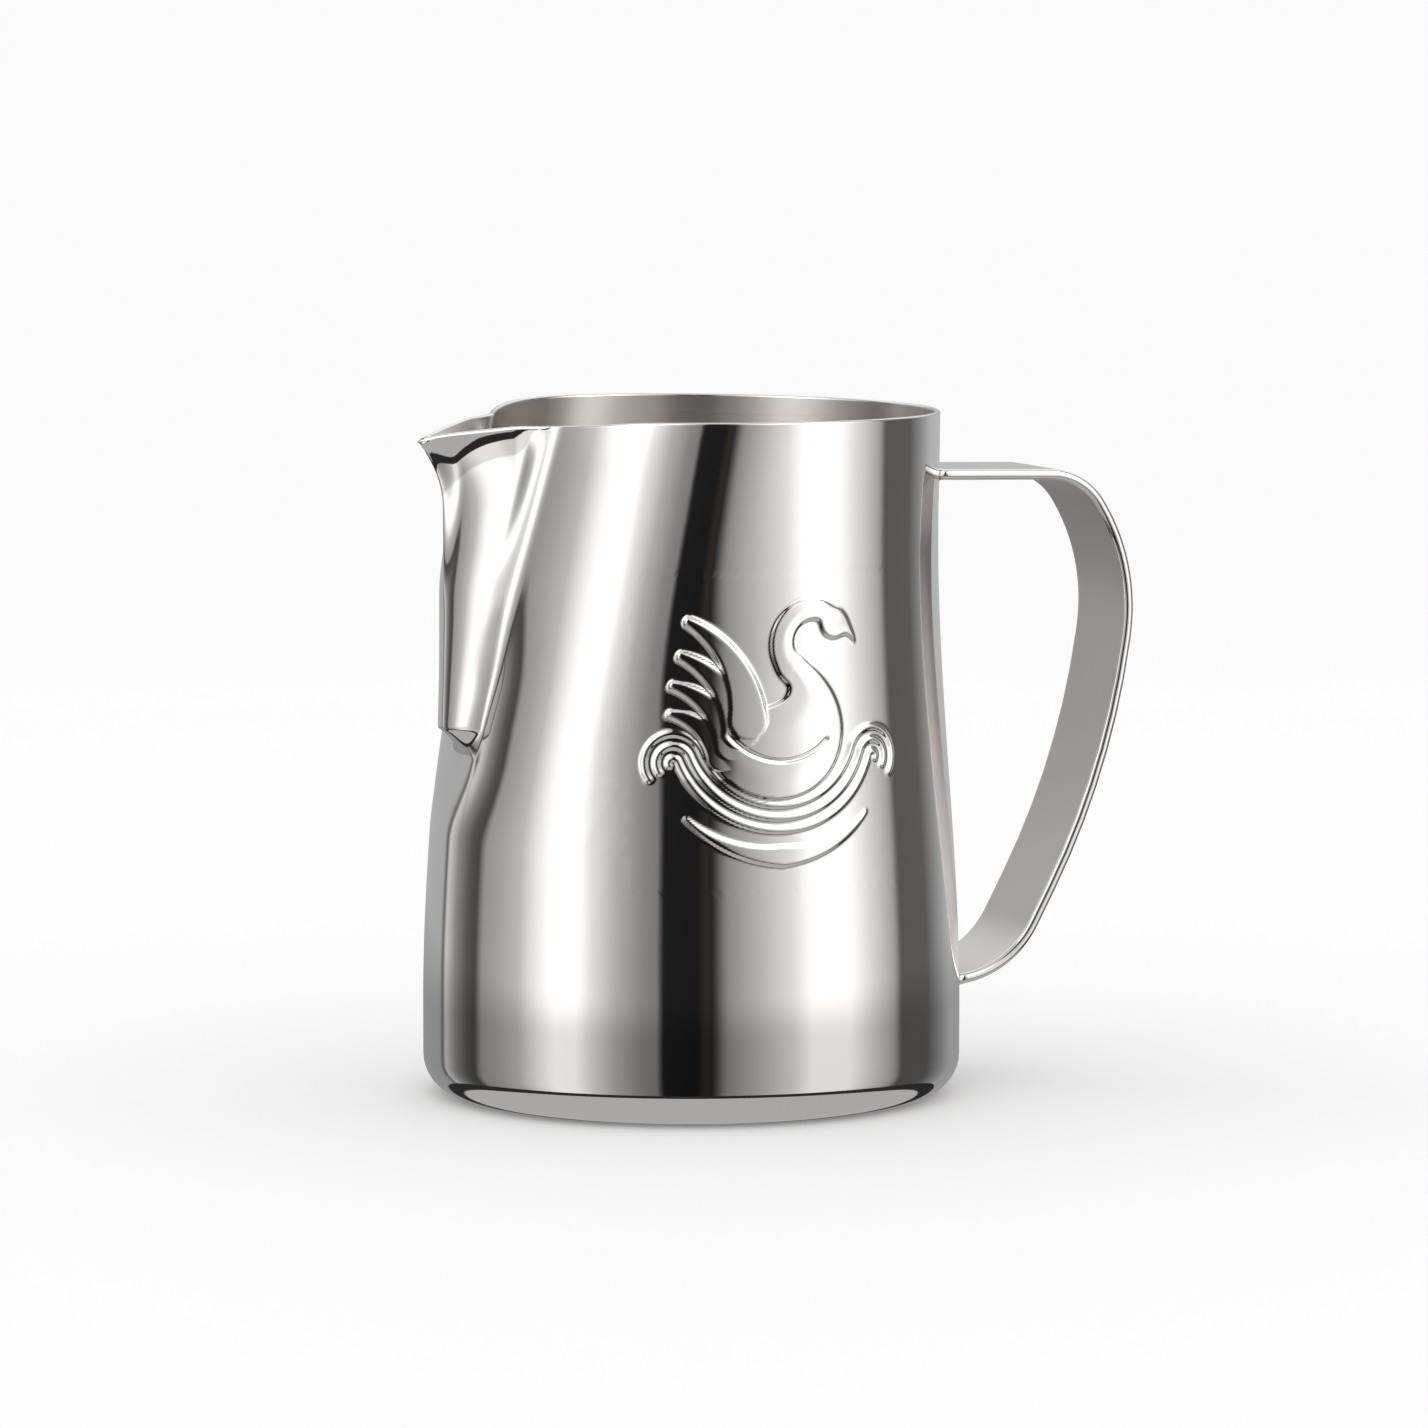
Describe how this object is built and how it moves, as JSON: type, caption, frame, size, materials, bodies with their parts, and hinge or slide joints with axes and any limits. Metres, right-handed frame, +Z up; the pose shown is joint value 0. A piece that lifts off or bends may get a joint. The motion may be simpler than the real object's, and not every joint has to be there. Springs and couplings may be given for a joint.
{
  "type": "milk frothing pitcher",
  "caption": "Steel milk steaming jug: a drawn cup with a flat base, a sharp creased pouring spout and a side strap handle welded at both ends.",
  "frame": {"origin": "centre of the underside of the flat base", "axes": "+Z up along the cup's axis, +X towards the handle, -X towards the pouring spout"},
  "size_m": [0.1177, 0.085, 0.1084],
  "materials": {
    "polished_steel": "mirror polished outside, fine circular brushing inside",
    "handle_steel": "polished edges and outer face, satin inner face",
    "weld_steel": "cleaned weld, dull"
  },
  "bodies": {
    "root": {"body": "polished_steel", "handle": "handle_steel", "upper_weld": "weld_steel", "lower_weld": "weld_steel"}
  },
  "joints": []
}
